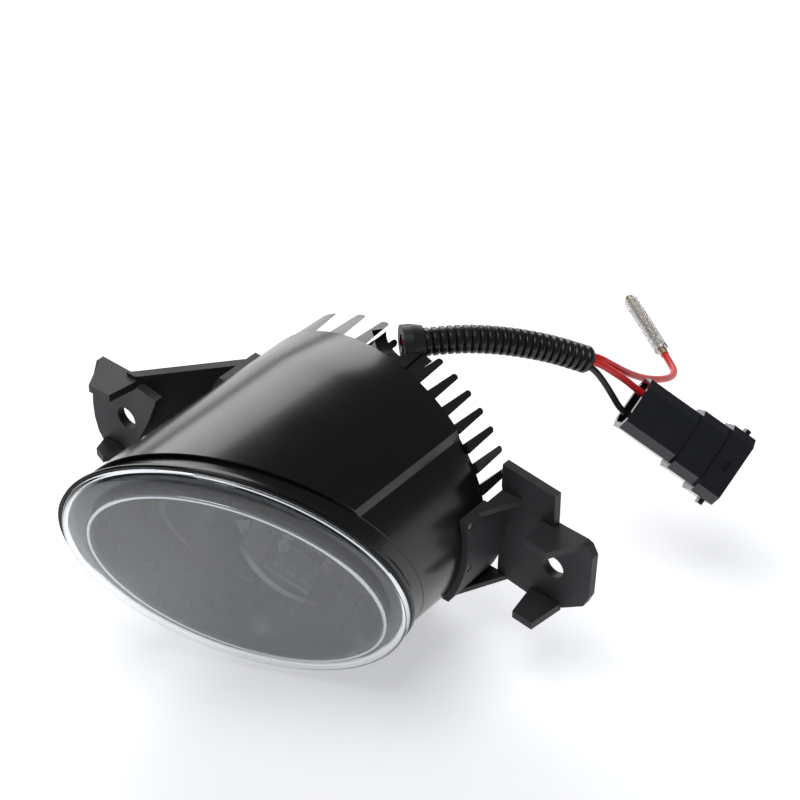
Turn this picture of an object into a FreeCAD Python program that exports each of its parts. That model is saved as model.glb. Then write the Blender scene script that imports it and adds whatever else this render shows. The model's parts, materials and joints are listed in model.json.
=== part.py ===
import FreeCAD, Part
import math
import os
import re

import Sketcher
from FreeCAD import Placement, Rotation, Vector

# Oval-faced LED fog light with two bolt ears and a short harness, in millimetres.
# Frame: +X to the right seen from the front, -Y the way the light shines, +Z up.
# The origin lies on the lamp's axis, midway between the two ear bolt holes.
# The optics, the casing and the heat sink are turned about that axis by "clocking".

DIMENSIONS = {
    # barrel
    "clocking": 38.5, "lens_sweep": 30.0, "lens_rake": -2.7, "lens_centre_y": -43.3,
    "barrel_radius": 44.2, "panel_radius": 45.4, "rim_radius": 45.9, "casing_wall": 2.4,
    "casing_rear_y": 15.4, "flange_depth": 1.2, "panel_step": 6.2, "ridge_x": 6.3,
    "lug_half": 5.2, "lug_circle": 38.0, "lug_length": 12.0,
    # sizes of the shapes that trim or cut others
    "tool_size": 260.0, "overcut": 1.0, "overlap": 0.5, "through": 12.0, "play": 0.05,
    # front glass and its seal
    "glass_long": 52.5, "glass_short": 45.7, "glass_shift": 0.3, "window_long": 46.3,
    "window_short": 37.2, "window_shift": 1.6,
    "glass_height": 6.0, "glass_wall": 2.4, "skirt_draft": 0.3, "skirt_height": 1.6,
    "shoulder_bulge": 1.8, "shoulder_drop": 1.0, "seal_depth": 0.8, "seal_width": 2.4,
    "seal_inset": 0.4,
    # optics
    "bezel_depth": 17.0, "bezel_front": 2.4, "bezel_wall": 1.4, "bezel_long": 37.2,
    "bezel_short": 32.4, "bezel_lip": 0.8, "bezel_gap": 1.2, "bowl_radius": 31.0, "bowl_wall": 1.6,
    "bowl_neck": 12.5, "bowl_rear_y": -4.0, "bowl_front_y": -68.3, "leg_radius": 2.0,
    "leg_circle": 27.0, "leg_root": 5.4, "slot_play": 1.0, "shelf_width": 32.0,
    "shelf_thick": 3.0, "shelf_depth": 12.6, "shelf_front": -8.6, "shelf_bow": 28.0,
    "shelf_x": 8.6, "shelf_y": -23.0, "shelf_z": -6.5, "shelf_sweep": 23.0, "tail_x": 4.0,
    "tail_width": 20.0, "board_width": 16.0, "board_length": 10.0, "board_thick": 1.2,
    "board_setback": 2.6, "board_screw_inset": 2.4, "chip_side": 3.0, "chip_high": 0.8,
    "chip_pitch": 4.2, "chip_setback": 2.0, "pad_thick": 0.5, "shank_gap": 0.1,
    # heat sink
    "sink_radius": 41.6, "disc_front_y": 8.0, "disc_rear_y": 13.0, "fin_reach": 45.2,
    "fin_count": 15, "fin_pitch": 6.1, "fin_root": 3.4, "fin_tip": 2.0, "fin_tip_y": 27.0,
    "fin_room": 30.0, "boss_inset": 1.0, "groove_depth": 1.6, "screw_room": 0.8, "post_bore": 5.0,
    "boss_x": -21.0, "boss_z": 36.0, "boss_width": 15.0, "boss_height": 14.0, "boss_rear_y": 25.0,
    "groove_y": 9.7, "groove_width": 1.7, "cord_section": 0.78,
    # driver electronics
    "driver_radius": 30.0, "driver_thick": 1.6, "driver_y": 2.0, "post_radius": 3.0,
    "post_circle": 24.0, "coil_radius": 5.0, "coil_high": 3.8, "coil_base": 1.0, "coil_rim": 0.7,
    "coil_z": 12.0, "can_radius": 3.0, "can_high": 4.0, "can_z": -13.0, "can_gap": 1.0,
    "driver_grip": 3.0,
    # ears
    "ear_x": 63.6, "ear_z": 8.5, "ear_y": 22.4, "ear_thick": 2.8, "ear_hole": 3.7,
    "ledge_thick": 2.6, "rib_thick": 1.8, "saddle_thick": 2.2, "saddle_inner_x": 30.0,
    "right_ledge_top": 15.0, "right_lip_z": -15.4, "right_upper_rib_z": 8.6,
    "right_lower_rib_z": -23.5, "right_saddle_y": 4.0,
    "left_ledge_top": 16.5, "left_lip_z": -15.3, "left_web_z": -4.0, "left_web_high": 30.0,
    "left_saddle_y": -6.0, "left_saddle_rear": 10.0, "left_saddle_z": -14.0,
    "left_saddle_top": 26.0, "fin_clearance": 0.3,
    # cable and gland
    "conduit_outer": 4.2, "conduit_inner": 3.1, "gland_radius": 5.8, "gland_nose": 5.0,
    "gland_length": 6.0, "gland_root": 0.2, "gland_straight": 2.5, "gland_seat_back": 8.0,
    "gland_seat_ahead": 6.0, "wire_radius": 1.1, "black_radius": 1.0,
    # plug
    "plug_width": 17.4, "plug_middle_width": 20.6, "plug_mouth_width": 23.6, "plug_deep": 12.6,
    "plug_middle_deep": 13.6, "plug_mouth_deep": 15.0, "plug_rear_length": 19.0,
    "plug_middle_length": 9.8, "plug_mouth_length": 8.0, "plug_wall": 1.7,
    "socket_depth": 15.0, "pin_pitch": 4.0, "pin_width": 2.8, "pin_thick": 0.8,
    "pin_length": 22.0, "pin_root": 12.0, "wire_seal_radius": 2.2, "wire_seal_length": 1.6,
    "pocket_depth": 6.0, "plug_bevel": 2.8, "barb": 1.6,
    # bullet connector
    "bullet_radius": 1.45, "bullet_length": 22.0, "bullet_taper": 1.0, "bullet_nose": 0.9,
    "crimp_radius": 1.4, "crimp_length": 8.0, "waist_radius": 1.0, "waist_length": 0.8,
    "sleeve_bore": 1.75, "sleeve_radius": 2.3, "sleeve_length": 25.0, "sleeve_start": 2.6,
    "sleeve_round": 0.3,
    # fasteners
    "screw_radius": 1.9, "screw_length": 12.0, "screw_head": 3.0, "head_high": 2.2,
    "screw_seat": 0.3, "screw_circle": 36.0, "small_screw": 1.0, "small_head": 1.9,
    "small_head_high": 1.2,
}

# Bolt ears, as (outward, up) from the bolt hole.
RIGHT_EAR = [(-19.6, -13.6), (-19.6, 28.3), (-0.8, 26.3), (-0.6, 15.0), (9.6, 14.8), (11.4, 14.2),
             (13.3, 11.0), (13.1, -4.5), (11.4, -8.7), (4.1, -13.8), (-8.6, -15.4), (-16.4, -14.2)]
LEFT_EAR = [(-13.5, 13.3), (-5.4, 14.6), (-5.0, 16.4), (10.9, 16.4), (13.6, 8.0), (14.4, -1.4),
            (14.2, -6.5), (13.0, -11.5), (10.6, -15.2), (1.0, -15.2), (-5.8, -3.8), (-9.7, 3.7)]
# Ledge and lips of the ears, as (outward, forward) from the bolt hole and the plate's front.
EAR_LEDGE = [(-5.4, 0.0), (10.0, 0.0), (4.2, 10.4), (-3.9, 10.0)]
RIGHT_LIP = [(-7.6, 0.0), (3.4, 0.0), (1.8, 12.2), (-5.6, 11.6)]
LEFT_LIP = [(1.4, 0.0), (10.4, 0.0), (8.4, 6.2), (4.2, 7.6)]
# Reflector bowl, as (share of its radius, y from its rear), inside and outside.
BOWL_INSIDE = [(1.0, -11.0), (0.87, -5.5), (0.65, -1.6)]
BOWL_OUTSIDE = [(1.0, -10.0), (0.87, -4.0), (0.65, 0.0)]
# Ribs and webs between an ear and the barrel, as (x, y) in the lamp's frame.
RIGHT_UPPER_RIB = [(38.0, 6.4), (43.4, 6.4), (51.2, 21.4), (52.0, 23.0), (38.0, 23.0)]
RIGHT_LOWER_RIB = [(36.0, 7.0), (39.6, 7.0), (46.6, 21.4), (47.4, 23.0), (36.0, 23.0)]
LEFT_WEB = [(-62.6, -21.6), (-59.0, -21.6), (-34.5, 8.2), (-38.0, 8.2)]
LEFT_LOWER_RIB = [(-60.0, -20.0), (-52.0, -20.0), (-43.0, -9.0), (-43.0, 0.5)]

# Centre lines of the harness, from the gland outwards.
CONDUIT_ROUTE = [(9.0, 28.8, 42.7), (14.4, 35.5, 42.6), (19.7, 42.1, 41.4), (25.2, 49.2, 39.1),
                 (30.9, 56.1, 36.1), (36.2, 62.2, 32.7), (40.4, 67.8, 28.8)]
BLACK_FAN = [(42.4, 70.0, 24.1), (44.7, 71.6, 19.9), (46.9, 72.6, 16.0)]
RED_FAN = [(43.8, 70.6, 27.1), (46.3, 73.6, 23.6), (48.3, 76.6, 20.3)]
BULLET_FAN = [(41.8, 71.8, 28.0), (43.7, 76.4, 23.5), (45.4, 82.4, 17.8), (46.4, 89.6, 12.0),
              (47.0, 97.4, 7.0), (46.8, 105.2, 2.8), (44.6, 111.8, -0.1)]
BLACK_OFFSET = Vector(-0.2, -0.3, -1.45)
RED_OFFSET = Vector(1.1, -0.7, 0.7)
BULLET_OFFSET = Vector(-0.9, 0.95, 0.75)
LEAD_IN = 5.6
BULLET_LEAD = 5.0
ARC_SHARE = 0.45

# Places of the plug and the bullet connector on the ends of the wires.
PLUG_FACE = Vector(52.1, 76.0, 13.7)
PLUG_TURN = Rotation(Vector(0.774, 0.3435, -0.5316), Vector(0.0925, 0.7747, 0.6244), Vector(),
                     "XYZ")
BULLET_END = Vector(36.7, 117.9, -0.4)
BULLET_AXIS = Vector(-0.849, 0.524, 0.071)
HOUSING_SCREW_ANGLES = (80, 180, 300)
POST_ANGLES = (60, 180, 300)
LEG_ANGLES = (90, 270)
BRACKET_SCREW_ANGLES = (-10, 10)
RIGHT_SCREW_Y = 5.9
LEFT_SCREW_Y = 0.0

doc = FreeCAD.newDocument("FogLight")
sheet = doc.addObject("Spreadsheet::Sheet", "Dimensions")
for row, (alias, value) in enumerate(DIMENSIONS.items(), start=1):
    sheet.set(f"A{row}", alias)
    sheet.set(f"B{row}", str(value))
    sheet.setAlias(f"B{row}", alias)
doc.recompute()

ALONG_Y = Rotation(Vector(1, 0, 0), -90)
ALONG_X = Rotation(Vector(0, 1, 0), 90)
UPRIGHT = Rotation()
CLOCKED = Placement(Vector(), Rotation(Vector(0, 1, 0), sheet.clocking))
nodes = []


# --- helpers ----------------------------------------------------------------------------

def bound(expression):
    """The expression with every dimension's name pointing at the sheet."""
    def point(match):
        word = match.group()
        return f"Dimensions.{word}" if word in DIMENSIONS else word
    return re.sub(r"[A-Za-z_]\w*", point, str(expression))


def measure(expression):
    """The present value of an expression of the sheet's dimensions."""
    return float(sheet.evalExpression(str(expression)))


def bind(item, **expressions):
    """Bind properties of an object to expressions of the sheet's dimensions."""
    for prop, expression in expressions.items():
        item.setExpression(prop.replace("__", "."), bound(expression))
    return item


def at(item, x="0", y="0", z="0"):
    """Bind an object's position."""
    return bind(item, Placement__Base__x=x, Placement__Base__y=y, Placement__Base__z=z)


def cylinder(name, radius, length, x="0", y="0", z="0", turn=ALONG_Y):
    """A cylinder that starts at a point and runs along +Y, unless another turn is given."""
    item = doc.addObject("Part::Cylinder", name)
    item.Placement = Placement(Vector(), turn)
    bind(item, Radius=radius, Height=length)
    return at(item, x, y, z)


def block(name, wide, deep, high, x="0", y="0", z="0"):
    """A box centred on x and z that starts at y."""
    item = doc.addObject("Part::Box", name)
    bind(item, Length=wide, Width=deep, Height=high)
    return at(item, f"({x}) - ({wide}) / 2", y, f"({z}) - ({high}) / 2")


def fuse(name, items):
    item = doc.addObject("Part::MultiFuse", name)
    item.Shapes = items
    return item


def common(name, items):
    item = doc.addObject("Part::MultiCommon", name)
    item.Shapes = items
    return item


def cut(name, base, tools):
    item = doc.addObject("Part::Cut", name)
    item.Base = base
    item.Tool = tools[0] if len(tools) == 1 else fuse(f"{name}Tools", tools)
    return item


def node(item, label, placement=None):
    """Make an object a sub-part, with its placement when it isn't drawn in place."""
    item.Label = label
    if placement is not None:
        item.Placement = placement
    nodes.append(item)
    return item


def clocked(item, label):
    """A sub-part that turns with the optics."""
    node(item, label, CLOCKED)
    return bind(item, Placement__Rotation__Angle="clocking")


def sketched_body(name, role, corners):
    """A PartDesign body with a closed sketch of straight lines on one of its origin planes."""
    body = doc.addObject("PartDesign::Body", name)
    plane = next(item for item in body.Origin.OriginFeatures if item.Role == role)
    sketch = body.newObject("Sketcher::SketchObject", f"{name}Sketch")
    sketch.AttachmentSupport = [(plane, "")]
    sketch.MapMode = "FlatFace"
    places = [tuple(measure(term) for term in corner) for corner in corners]
    for here, there in zip(places, places[1:] + places[:1]):
        sketch.addGeometry(Part.LineSegment(Vector(*here, 0), Vector(*there, 0)))
    for index, corner in enumerate(corners):
        following = (index + 1) % len(corners)
        sketch.addConstraint(Sketcher.Constraint("Coincident", index, 2, following, 1))
        for kind, term, value in zip(("DistanceX", "DistanceY"), corner, places[index]):
            number = sketch.addConstraint(Sketcher.Constraint(kind, -1, 1, index, 1, value))
            sketch.setExpression(f"Constraints[{number}]", bound(term))
    return body, sketch


def turned_body(name, corners):
    """A body turned about +Y from (radius, y) corners."""
    body, sketch = sketched_body(name, "XY_Plane", corners)
    turned = body.newObject("PartDesign::Revolution", f"{name}Turned")
    turned.Profile = sketch
    turned.ReferenceAxis = (sketch, ["V_Axis"])
    turned.Angle = 360
    body.Tip = turned
    return body


def plate(name, role, corners, thickness):
    """A flat body: on XY_Plane it rises to +Z, on XZ_Plane it grows towards -Y."""
    body, sketch = sketched_body(name, role, corners)
    pad = body.newObject("PartDesign::Pad", f"{name}Pad")
    pad.Profile = sketch
    bind(pad, Length=thickness)
    body.Tip = pad
    return body


def around(radius, angle):
    """Expressions for a point on a circle about the lamp's axis."""
    return f"({radius}) * cos({angle} deg)", f"({radius}) * sin({angle} deg)"


# --- the swept plane of the lens ----------------------------------------------------------

LENS_TURN = Rotation(Vector(0, 0, 1), sheet.lens_sweep) * Rotation(Vector(1, 0, 0), sheet.lens_rake)


def on_lens(forward, right=0.0, up=0.0):
    """A point of the lens's frame, where forward runs along its outward normal."""
    return Vector(0, sheet.lens_centre_y, 0) + LENS_TURN.multVec(Vector(right, -forward, up))


def lens_slab(name, front, back):
    """A wide plate parallel to the lens, from depth back up to depth front."""
    half = sheet.tool_size / 2
    item = doc.addObject("Part::Box", name)
    bind(item, Length="tool_size", Height="tool_size", Width=f"({front}) - ({back})")
    item.Placement = Placement(on_lens(measure(front), -half, -half), LENS_TURN)
    return item


def oval_loft(name, sections):
    """A solid through ovals parallel to the lens, each (long, short, forward, shift to the right)."""
    ovals = []
    for index, (long_axis, short_axis, forward, shift) in enumerate(sections):
        oval = doc.addObject("Part::Ellipse", f"{name}Oval{index}")
        bind(oval, MajorRadius=long_axis, MinorRadius=short_axis)
        oval.Placement = Placement(on_lens(measure(forward), measure(shift)),
                                   LENS_TURN * Rotation(Vector(1, 0, 0), 90))
        ovals.append(oval)
    loft = doc.addObject("Part::Loft", name)
    loft.Sections = ovals
    loft.Solid = True
    loft.Ruled = True
    return loft


# --- front casing and glass ---------------------------------------------------------------

def front_casing():
    """Round barrel cut off by the swept lens plane, with a flange and a raised panel."""
    reach = "tool_size / 2"
    barrel = cylinder("Barrel", "barrel_radius", f"{reach} + casing_rear_y", y=f"-{reach}")
    skin = common("BarrelSkin", [barrel, lens_slab("BehindLens", "0", "-tool_size")])
    disc = cylinder("FlangeDisc", "rim_radius", reach, y=f"-{reach}")
    flange = common("Flange", [disc, lens_slab("FlangeSlab", "0", "-flange_depth")])
    raised = cylinder("RaisedSkin", "panel_radius", f"{reach} + casing_rear_y", y=f"-{reach}")
    side = block("RaisedSide", reach, "tool_size", "tool_size", f"ridge_x - {reach} / 2", f"-{reach}")
    panel = common("RaisedPanel", [raised, side, lens_slab("StepSlab", "-panel_step", "-tool_size")])
    blank = fuse("CasingBlank", [skin, flange, panel])
    bore = cylinder("CasingBore", "barrel_radius - casing_wall", "tool_size", y=f"-{reach}")
    shell = cut("CasingShell", blank, [bore])
    lugs = common("Lugs", [fuse("LugPosts", [screw_lug(angle) for angle in HOUSING_SCREW_ANGLES]),
                           cylinder("LugTrim", "barrel_radius - casing_wall / 2", "tool_size",
                                    y=f"-{reach}")])
    drilled = cut("DrilledCasing", fuse("CasingWithLugs", [shell, lugs]),
                  screw_holes("CasingLugHole") + bracket_holes("CasingHole"))
    clocked(drilled, "front_casing")


def screw_lug(angle):
    """Post on the barrel's inner wall that takes a housing screw."""
    x, z = around("lug_circle", angle)
    return block(f"Lug{angle}", "2 * lug_half", "lug_length", "2 * lug_half", x,
                 "disc_front_y - lug_length", z)


def screw_holes(name):
    """Tool cylinders where the housing screws go."""
    holes = []
    for angle in HOUSING_SCREW_ANGLES:
        x, z = around("screw_circle", angle)
        holes.append(cylinder(f"{name}{angle}", "screw_radius + play", "screw_length + 2 * overcut", x,
                              "disc_rear_y - screw_length - overcut", z))
    return holes


def bracket_screw_lines():
    """Start point and direction of each bracket screw, inside the barrel, head first."""
    for side, y in ((0, RIGHT_SCREW_Y), (180, LEFT_SCREW_Y)):
        for angle in BRACKET_SCREW_ANGLES:
            turn = math.radians(side + angle)
            outward = Vector(math.cos(turn), 0, math.sin(turn))
            yield f"{side}_{angle}".replace("-", "n"), outward, y


def bracket_holes(name, turned_back=True):
    """Tool cylinders for the bracket screws, in the clocked frame or in the lamp's."""
    holes = []
    for key, outward, y in bracket_screw_lines():
        aim = CLOCKED.Rotation.inverted().multVec(outward) if turned_back else outward
        start = aim * (sheet.barrel_radius - sheet.casing_wall - sheet.overcut) + Vector(0, y, 0)
        item = doc.addObject("Part::Cylinder", f"{name}{key}")
        bind(item, Radius="small_screw + play", Height="casing_wall + saddle_thick + 3 * overcut")
        item.Placement = Placement(start, Rotation(Vector(0, 0, 1), aim))
        holes.append(item)
    return holes


def lens_seal():
    reach = "tool_size / 2"
    outer = cylinder("SealDisc", "rim_radius - seal_inset", reach, y=f"-{reach}")
    inner = cylinder("SealBore", "rim_radius - seal_inset - seal_width", reach, y=f"-{reach}")
    ring = cut("SealRing", outer, [inner])
    clocked(common("LensSeal", [ring, lens_slab("SealSlab", "seal_depth", "0")]), "lens_seal")


def outer_lens():
    """Clear cup: a flat window with a rounded skirt down to the seal."""
    middle_shift = "(glass_shift + window_shift) / 2"
    outer = oval_loft("GlassOuter", [
        ("glass_long", "glass_short", "seal_depth", "glass_shift"),
        ("glass_long - skirt_draft", "glass_short - skirt_draft", "seal_depth + skirt_height",
         "glass_shift"),
        ("(glass_long + window_long) / 2 + shoulder_bulge",
         "(glass_short + window_short) / 2 + shoulder_bulge", "glass_height - shoulder_drop",
         middle_shift),
        ("window_long", "window_short", "glass_height", "window_shift")])
    inner = oval_loft("GlassInner", [
        ("glass_long - glass_wall", "glass_short - glass_wall", "seal_depth - overlap",
         "glass_shift"),
        ("glass_long - glass_wall - skirt_draft", "glass_short - glass_wall - skirt_draft",
         "seal_depth + skirt_height - overlap", "glass_shift"),
        ("window_long - overlap", "window_short - overlap", "glass_height - glass_wall",
         "window_shift")])
    clocked(cut("OuterLens", outer, [inner]), "outer_lens")


# --- optics ---------------------------------------------------------------------------------

def inner_bezel():
    """Funnel-shaped trim ring from just behind the window to the reflector."""
    slope = "(window_long - bezel_gap - bezel_long) / (bezel_front + bezel_depth)"
    outer = oval_loft("BezelOuter", [
        ("bezel_long", "bezel_short", "-bezel_depth", "0"),
        ("window_long - bezel_gap", "window_short - bezel_gap", "bezel_front", "window_shift")])
    lip = common("BezelLip", [
        cylinder("LipDisc", "rim_radius - seal_inset - seal_width - overlap", "tool_size / 2",
                 y="-tool_size / 2"),
        lens_slab("LipSlab", "bezel_lip", "0")])
    inner = oval_loft("BezelInner", [
        (f"bezel_long - bezel_wall - {slope}", "bezel_short - bezel_wall",
         "-bezel_depth - overcut", "0"),
        (f"window_long - bezel_gap - bezel_wall + {slope}",
         "window_short - bezel_gap - bezel_wall", "bezel_front + overcut", "window_shift")])
    clocked(cut("InnerBezel", fuse("BezelBlank", [outer, lip]), [inner]), "inner_bezel")


def reflector():
    """Bowl behind the bezel, cut off parallel to the lens, slotted for the shelf, on two legs."""
    inner = [("bowl_radius", "bowl_front_y")]
    inner += [(f"bowl_radius * {share}", f"bowl_rear_y + {rise}") for share, rise in BOWL_INSIDE]
    inner.append(("bowl_neck", "bowl_rear_y"))
    outer = [("bowl_radius + bowl_wall", "bowl_front_y")]
    outer += [(f"bowl_radius * {share} + bowl_wall", f"bowl_rear_y + {rise}")
              for share, rise in BOWL_OUTSIDE]
    outer.append(("bowl_neck", "bowl_rear_y + bowl_wall"))
    bowl = common("BowlCut", [turned_body("Bowl", inner + outer[::-1]),
                              lens_slab("BowlSlab", "-bezel_depth - play", "-tool_size")])
    slot = block("BowlSlot", "tail_width + slot_play", "tool_size", "shelf_thick + slot_play",
                 "tail_x", "-tool_size / 2", "shelf_z")
    legs = [cylinder(f"BowlLeg{angle}", "leg_radius", "driver_y - bowl_rear_y + leg_root",
                     around("leg_circle", angle)[0], "bowl_rear_y - leg_root",
                     around("leg_circle", angle)[1]) for angle in LEG_ANGLES]
    slotted = cut("SlottedBowl", bowl, [slot])
    clocked(fuse("Reflector", [slotted] + legs), "reflector")


SHELF = Placement(Vector(sheet.shelf_x, sheet.shelf_y, sheet.shelf_z),
                  Rotation(Vector(0, 0, 1), sheet.shelf_sweep))


def on_shelf(item, label):
    """A sub-part drawn about the middle of the shelf's straight edge."""
    node(item, label, CLOCKED.multiply(SHELF))


def led_shelf():
    """Metal tongue that carries the light source, swept like the lens, with a bowed front edge."""
    wide = block("ShelfWide", "shelf_width", "shelf_depth", "shelf_thick", y="shelf_front")
    bow = cylinder("ShelfBow", "shelf_bow", "shelf_thick", "0", "shelf_front + shelf_bow",
                   "-shelf_thick / 2", UPRIGHT)
    tongue = common("ShelfTongue", [wide, bow])
    tongue.Placement = SHELF
    tail = block("ShelfTail", "tail_width", "disc_front_y - shelf_y", "shelf_thick", "tail_x",
                 "shelf_y", "shelf_z")
    holes = fuse("ShelfHoles", board_screw_holes("Shelf"))
    holes.Placement = SHELF
    clocked(cut("LedShelf", fuse("ShelfBlank", [tongue, tail]), [holes]), "led_shelf")


def above_and_below(name, wide, deep, high, x, y, height):
    """Two equal plates on the two faces of the shelf, at one height from each face."""
    lift = f"shelf_thick / 2 + ({height}) + ({high}) / 2"
    return [block(f"{name}Upper", wide, deep, high, x, y, lift),
            block(f"{name}Lower", wide, deep, high, x, y, f"-({lift})")]


BOARD_Y = "shelf_front + board_setback"
BOARD_SCREWS = ("-board_width / 2 + board_screw_inset", "board_width / 2 - board_screw_inset")
BOARD_SCREW_Y = f"{BOARD_Y} + board_length - board_screw_inset"


def board_screw_holes(name):
    """Holes through the shelf and everything on it for the four board screws."""
    return [cylinder(f"{name}Hole{index}", "small_screw + play", "through", x, BOARD_SCREW_Y,
                     "-through / 2", UPRIGHT) for index, x in enumerate(BOARD_SCREWS)]


def light_source():
    """Thermal pads, circuit boards, emitter chips and board screws on both faces."""
    pads = above_and_below("Pad", "board_width", "board_length", "pad_thick", "0", BOARD_Y, "0")
    on_shelf(cut("ThermalPads", fuse("PadPair", pads), board_screw_holes("Pad")), "thermal_pads")
    boards = above_and_below("Board", "board_width", "board_length", "board_thick", "0", BOARD_Y,
                             "pad_thick")
    on_shelf(cut("LedBoards", fuse("BoardPair", boards), board_screw_holes("Board")), "led_boards")
    chips = []
    for index in (-1, 0, 1):
        chips += above_and_below(f"Chip{index + 1}", "chip_side", "chip_side", "chip_high",
                                 f"{index} * chip_pitch", f"{BOARD_Y} + chip_setback",
                                 "pad_thick + board_thick")
    on_shelf(fuse("LedEmitters", chips), "led_emitters")
    screws = []
    for index, x in enumerate(BOARD_SCREWS):
        half = "shelf_thick / 2 + pad_thick + board_thick"
        for side, shank, head in (("Upper", "shank_gap", half),
                                  ("Lower", f"-({half})", f"-({half}) - small_head_high")):
            pin = cylinder(f"BoardScrew{side}{index}", "small_screw", f"{half} - shank_gap", x,
                           BOARD_SCREW_Y, shank, UPRIGHT)
            cap = cylinder(f"BoardHead{side}{index}", "small_head", "small_head_high", x,
                           BOARD_SCREW_Y, head, UPRIGHT)
            screws.append(fuse(f"BoardFastener{side}{index}", [pin, cap]))
    on_shelf(fuse("BoardScrews", screws), "led_board_screws")


# --- heat sink and driver -------------------------------------------------------------------

def fin(index):
    """One fin, tapered and with a rounded tip, upright across the disc."""
    x = f"({index} - (fin_count - 1) / 2) * fin_pitch"
    straight = doc.addObject("Part::Wedge", f"Fin{index}")
    bind(straight, Xmin=f"{x} - fin_root / 2", Xmax=f"{x} + fin_root / 2", Ymin="disc_rear_y - overlap",
         Ymax="fin_tip_y - fin_tip / 2", Zmin="-fin_reach", Zmax="fin_reach",
         X2min=f"{x} - fin_tip / 2", X2max=f"{x} + fin_tip / 2", Z2min="-fin_reach",
         Z2max="fin_reach")
    tip = cylinder(f"FinTip{index}", "fin_tip / 2", "2 * fin_reach", x, "fin_tip_y - fin_tip / 2",
                   "-fin_reach", UPRIGHT)
    return [straight, tip]


def heat_sink():
    """Disc inside the barrel, fins over its rear rim, the cable boss and the driver's posts."""
    fins = fuse("FinSet", [piece for index in range(int(sheet.fin_count)) for piece in fin(index)])
    profile = fuse("FinProfile", [
        cylinder("FinsInside", "sink_radius", "casing_rear_y - disc_front_y", y="disc_front_y"),
        cylinder("FinsOutside", "fin_reach", "fin_room", y="casing_rear_y")])
    disc = cylinder("SinkDisc", "sink_radius", "disc_rear_y - disc_front_y", y="disc_front_y")
    boss = common("Boss", [
        block("BossBlock", "boss_width", "boss_rear_y - disc_front_y", "boss_height", "boss_x",
              "disc_front_y", "boss_z"),
        fuse("BossTrim", [
            cylinder("BossInside", "sink_radius", "casing_rear_y - disc_front_y", y="disc_front_y"),
            cylinder("BossOutside", "fin_reach - boss_inset", "fin_room", y="casing_rear_y")])])
    posts = [cylinder(f"Post{angle}", "post_radius", "disc_front_y - driver_y - driver_thick",
                      around("post_circle", angle)[0], "driver_y + driver_thick",
                      around("post_circle", angle)[1]) for angle in POST_ANGLES]
    blank = fuse("SinkBlank", [common("Fins", [fins, profile]), disc, boss] + posts)
    groove = cut("GrooveRing",
                 cylinder("GrooveOuter", "sink_radius + overcut", "groove_width", y="groove_y"),
                 [cylinder("GrooveInner", "sink_radius - groove_depth", "groove_width", y="groove_y")])
    pockets = [cylinder(f"Pocket{angle}", "screw_head + screw_room", "fin_room",
                        around("screw_circle", angle)[0], "disc_rear_y",
                        around("screw_circle", angle)[1]) for angle in HOUSING_SCREW_ANGLES]
    bores = [cylinder(f"PostBore{angle}", "small_screw + play", "post_bore",
                      around("post_circle", angle)[0], "driver_y + driver_thick",
                      around("post_circle", angle)[1]) for angle in POST_ANGLES]
    seat = gland_seat()
    clocked(cut("HeatSink", blank, [groove, seat] + pockets + bores + screw_holes("SinkHole")),
            "heat_sink")


def casing_seal():
    ring = doc.addObject("Part::Torus", "CasingSeal")
    ring.Placement = Placement(Vector(), ALONG_Y)
    bind(ring, Radius1="sink_radius - cord_section + play", Radius2="cord_section")
    at(ring, y="groove_y + groove_width / 2")
    node(ring, "casing_seal")


def screws(name, circle, angles, radius, head, head_high, shank, head_y):
    """Screws along -Y on a circle, each with its head's underside at head_y."""
    parts = []
    for angle in angles:
        x, z = around(circle, angle)
        pin = cylinder(f"{name}Shank{angle}", radius, shank, x, f"{head_y} - ({shank})", z)
        cap = cylinder(f"{name}Head{angle}", head, head_high, x, head_y, z)
        parts.append(fuse(f"{name}{angle}", [pin, cap]))
    return fuse(name, parts)


def driver():
    """Round circuit board on three posts, with its coil, capacitors and screws."""
    disc = cylinder("DriverDisc", "driver_radius", "driver_thick", y="driver_y")
    slot = block("DriverSlot", "tail_width + slot_play", "through", "shelf_thick + slot_play",
                 "tail_x", "driver_y - through / 2", "shelf_z")
    holes = [cylinder(f"DriverHole{angle}", "small_screw + play", "through",
                      around("post_circle", angle)[0], "driver_y - through / 2",
                      around("post_circle", angle)[1]) for angle in POST_ANGLES]
    clocked(cut("DriverBoard", disc, [slot] + holes), "driver_board")
    coil = [cylinder("CoilBase", "coil_radius", "coil_base", "0", "driver_y + driver_thick", "coil_z"),
            cylinder("CoilWinding", "coil_radius - coil_rim", "coil_high", "0",
                     "driver_y + driver_thick", "coil_z")]
    clocked(fuse("DriverCoil", coil), "driver_coil")
    cans = [cylinder(f"Can{index}", "can_radius", "can_high", x, "driver_y + driver_thick", "can_z")
            for index, x in enumerate(("-can_radius - can_gap", "can_radius + can_gap"))]
    clocked(fuse("DriverCans", cans), "driver_capacitors")
    heads = []
    for angle in POST_ANGLES:
        x, z = around("post_circle", angle)
        pin = cylinder(f"DriverPin{angle}", "small_screw", "driver_thick + driver_grip", x,
                       "driver_y", z)
        cap = cylinder(f"DriverCap{angle}", "small_head", "small_head_high", x,
                       "driver_y - small_head_high", z)
        heads.append(fuse(f"DriverScrew{angle}", [pin, cap]))
    clocked(fuse("DriverScrews", heads), "driver_screws")


def housing_screws():
    clocked(screws("HousingScrews", "screw_circle", HOUSING_SCREW_ANGLES, "screw_radius",
                   "screw_head", "head_high", "screw_length", "disc_rear_y"), "housing_screws")


# --- bolt ears ------------------------------------------------------------------------------

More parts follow.
